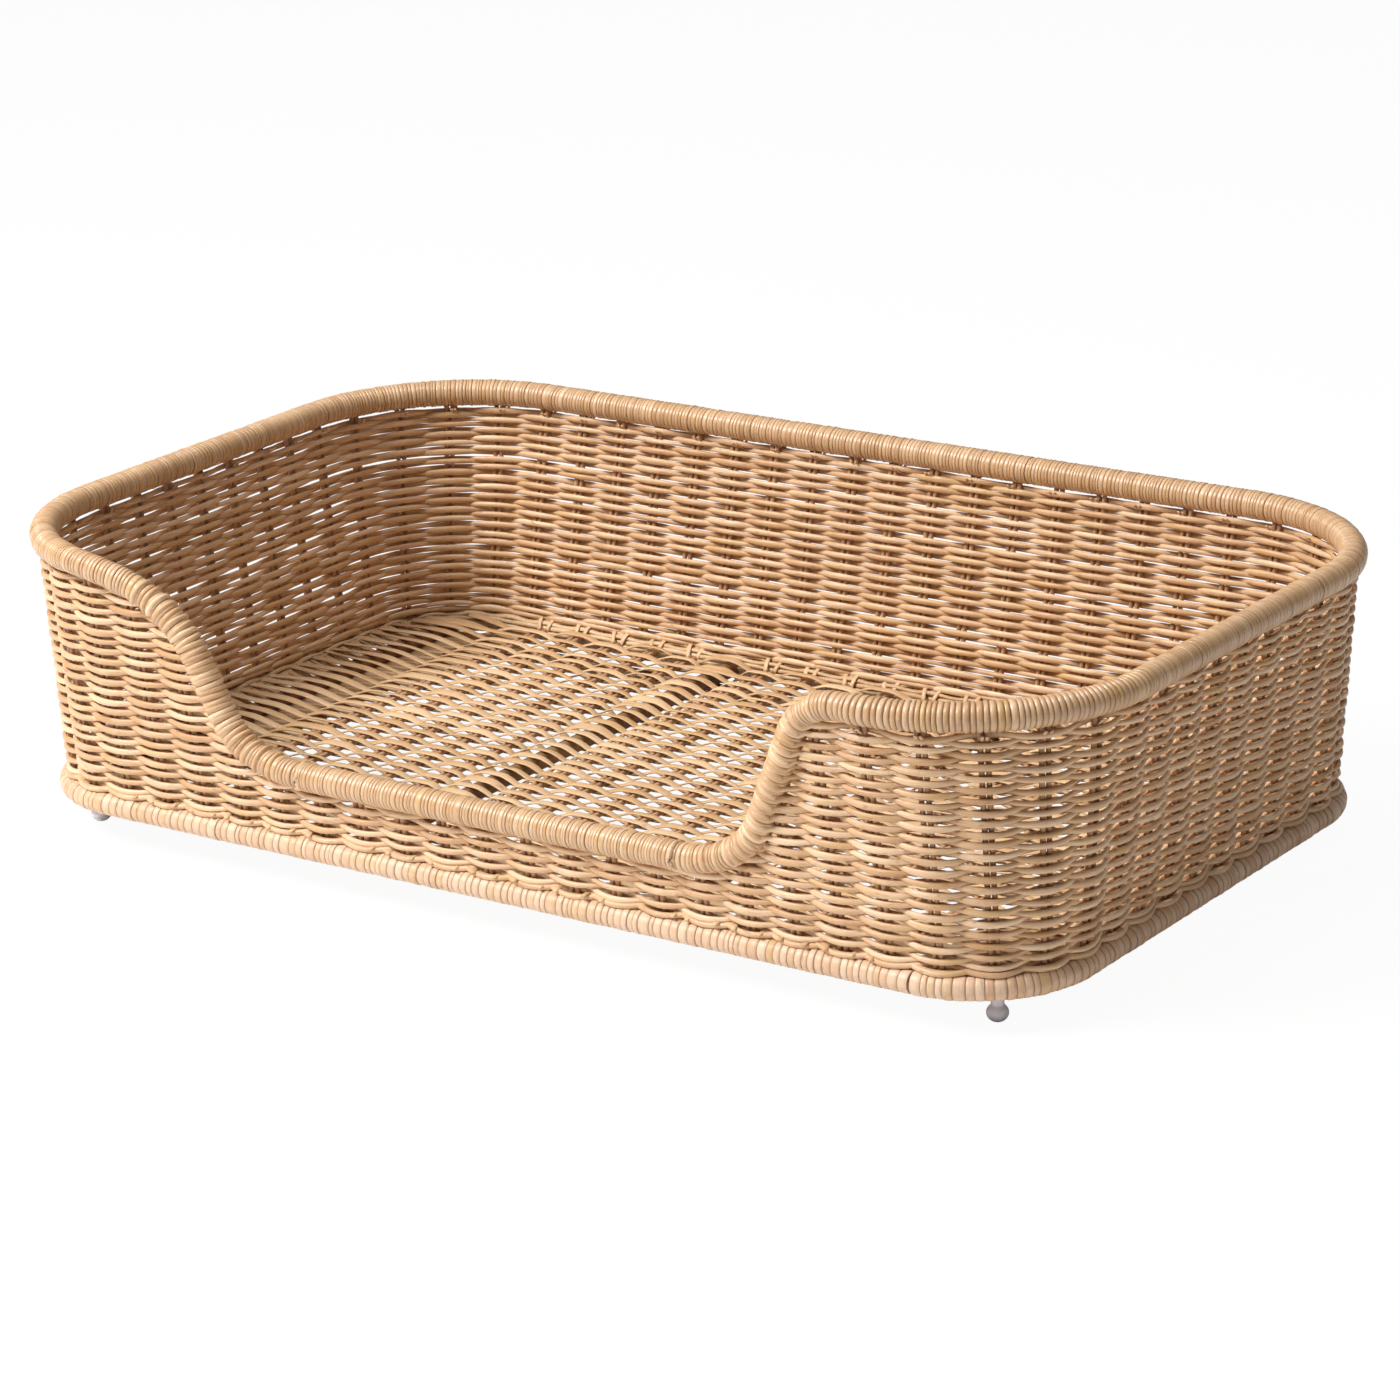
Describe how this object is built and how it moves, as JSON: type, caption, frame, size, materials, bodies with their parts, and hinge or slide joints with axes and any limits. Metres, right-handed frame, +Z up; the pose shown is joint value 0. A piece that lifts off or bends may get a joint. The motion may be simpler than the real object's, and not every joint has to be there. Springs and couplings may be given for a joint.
{
  "type": "wicker pet bed basket",
  "caption": "Rounded oblong woven rattan pet bed with a bound rim that dips to a low sill at the front, a woven floor and small bulb feet.",
  "frame": {"origin": "centre of the bounding box on the ground plane the feet stand on", "axes": "+X along the long side, to the right of someone facing the low front; -Y towards the front entrance; +Z up"},
  "size_m": [0.819, 0.497, 0.205],
  "materials": {
    "rattan_pole": "satin",
    "rattan_peel": "satin",
    "rattan_core": "satin",
    "rattan_stake": "satin",
    "rattan_strip": "satin",
    "foot_plastic": "matte",
    "nail_steel": "brushed"
  },
  "bodies": {
    "root": {"base_hoop": "rattan_pole", "rim_pole_back": "rattan_pole", "rim_pole_front": "rattan_pole", "end_pole_left": "rattan_pole", "end_pole_right": "rattan_pole", "cross_pole_left": "rattan_pole", "cross_pole_right": "rattan_pole", "runner_front": "rattan_pole", "runner_back": "rattan_pole", "base_binding": "rattan_peel", "rim_binding_back": "rattan_peel", "rim_binding_left": "rattan_peel", "rim_binding_right": "rattan_peel", "rim_binding_back_left": "rattan_peel", "rim_binding_back_right": "rattan_peel", "rim_binding_front_right": "rattan_peel", "rim_binding_front_left": "rattan_peel", "rim_binding_slope_left": "rattan_peel", "rim_binding_sill": "rattan_peel", "rim_binding_slope_right": "rattan_peel", "weave_back": "rattan_core", "weave_left": "rattan_core", "weave_right": "rattan_core", "weave_front_low": "rattan_core", "weave_front_left": "rattan_core", "weave_front_right": "rattan_core", "weave_corner_back_left": "rattan_core", "weave_corner_back_right": "rattan_core", "weave_corner_front_right": "rattan_core", "weave_corner_front_left": "rattan_core", "foot_border": "rattan_core", "stakes_back": "rattan_stake", "stakes_front": "rattan_stake", "stakes_left": "rattan_stake", "stakes_right": "rattan_stake", "stakes_corners": "rattan_stake", "floor_ribs": "rattan_stake", "floor_strips_even": "rattan_strip", "floor_strips_odd": "rattan_strip", "foot_front_left": "foot_plastic", "foot_front_right": "foot_plastic", "foot_back_left": "foot_plastic", "foot_back_right": "foot_plastic", "foot_nails": "nail_steel"}
  },
  "joints": []
}
